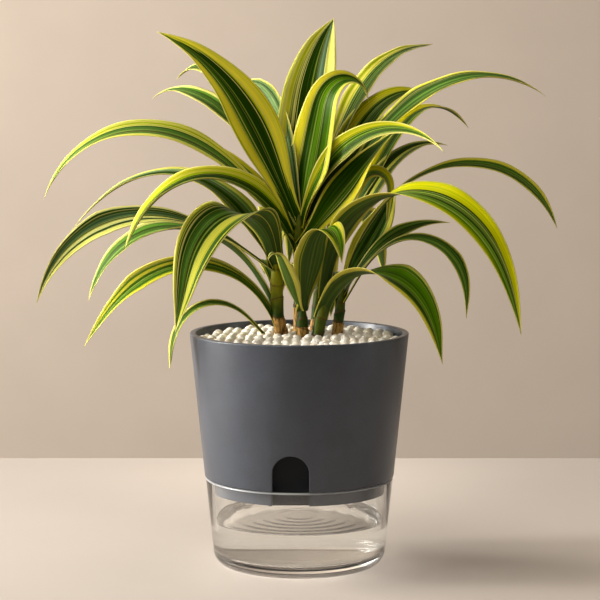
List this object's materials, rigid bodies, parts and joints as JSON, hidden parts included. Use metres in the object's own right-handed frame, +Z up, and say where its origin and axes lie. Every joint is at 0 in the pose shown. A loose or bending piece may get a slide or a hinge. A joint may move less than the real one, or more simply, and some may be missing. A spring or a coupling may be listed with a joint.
{
  "type": "potted song of india plant",
  "caption": "Striped dracaena with leafy canes in a tapered charcoal self-watering pot that rests on a clear glass water reservoir.",
  "frame": {"origin": "middle of the glass reservoir's flat foot, on the pot's axis", "axes": "+Z up along the pot's axis, -Y towards the front with the arched fill notch, +X to the right as seen from the front"},
  "size_m": [0.3587, 0.2263, 0.3763],
  "materials": {
    "clear_glass": "clear polished glass",
    "water": "clear water",
    "charcoal_plastic": "matte moulded plastic, fine grain",
    "potting_soil": "dark peat-based potting soil",
    "white_pebbles": "rounded warm white pebbles",
    "leaf_and_cane": "leaves with green centres and yellow margins on green and brown canes"
  },
  "bodies": {
    "root": {"glass_reservoir": "clear_glass", "water": "water", "planter_pot": "charcoal_plastic", "potting_soil": "potting_soil", "pebble_bed": "white_pebbles", "stem_left": "leaf_and_cane", "stem_front": "leaf_and_cane", "stem_front_right": "leaf_and_cane", "stem_right": "leaf_and_cane", "stem_tall": "leaf_and_cane", "stem_back": "leaf_and_cane"}
  },
  "joints": []
}
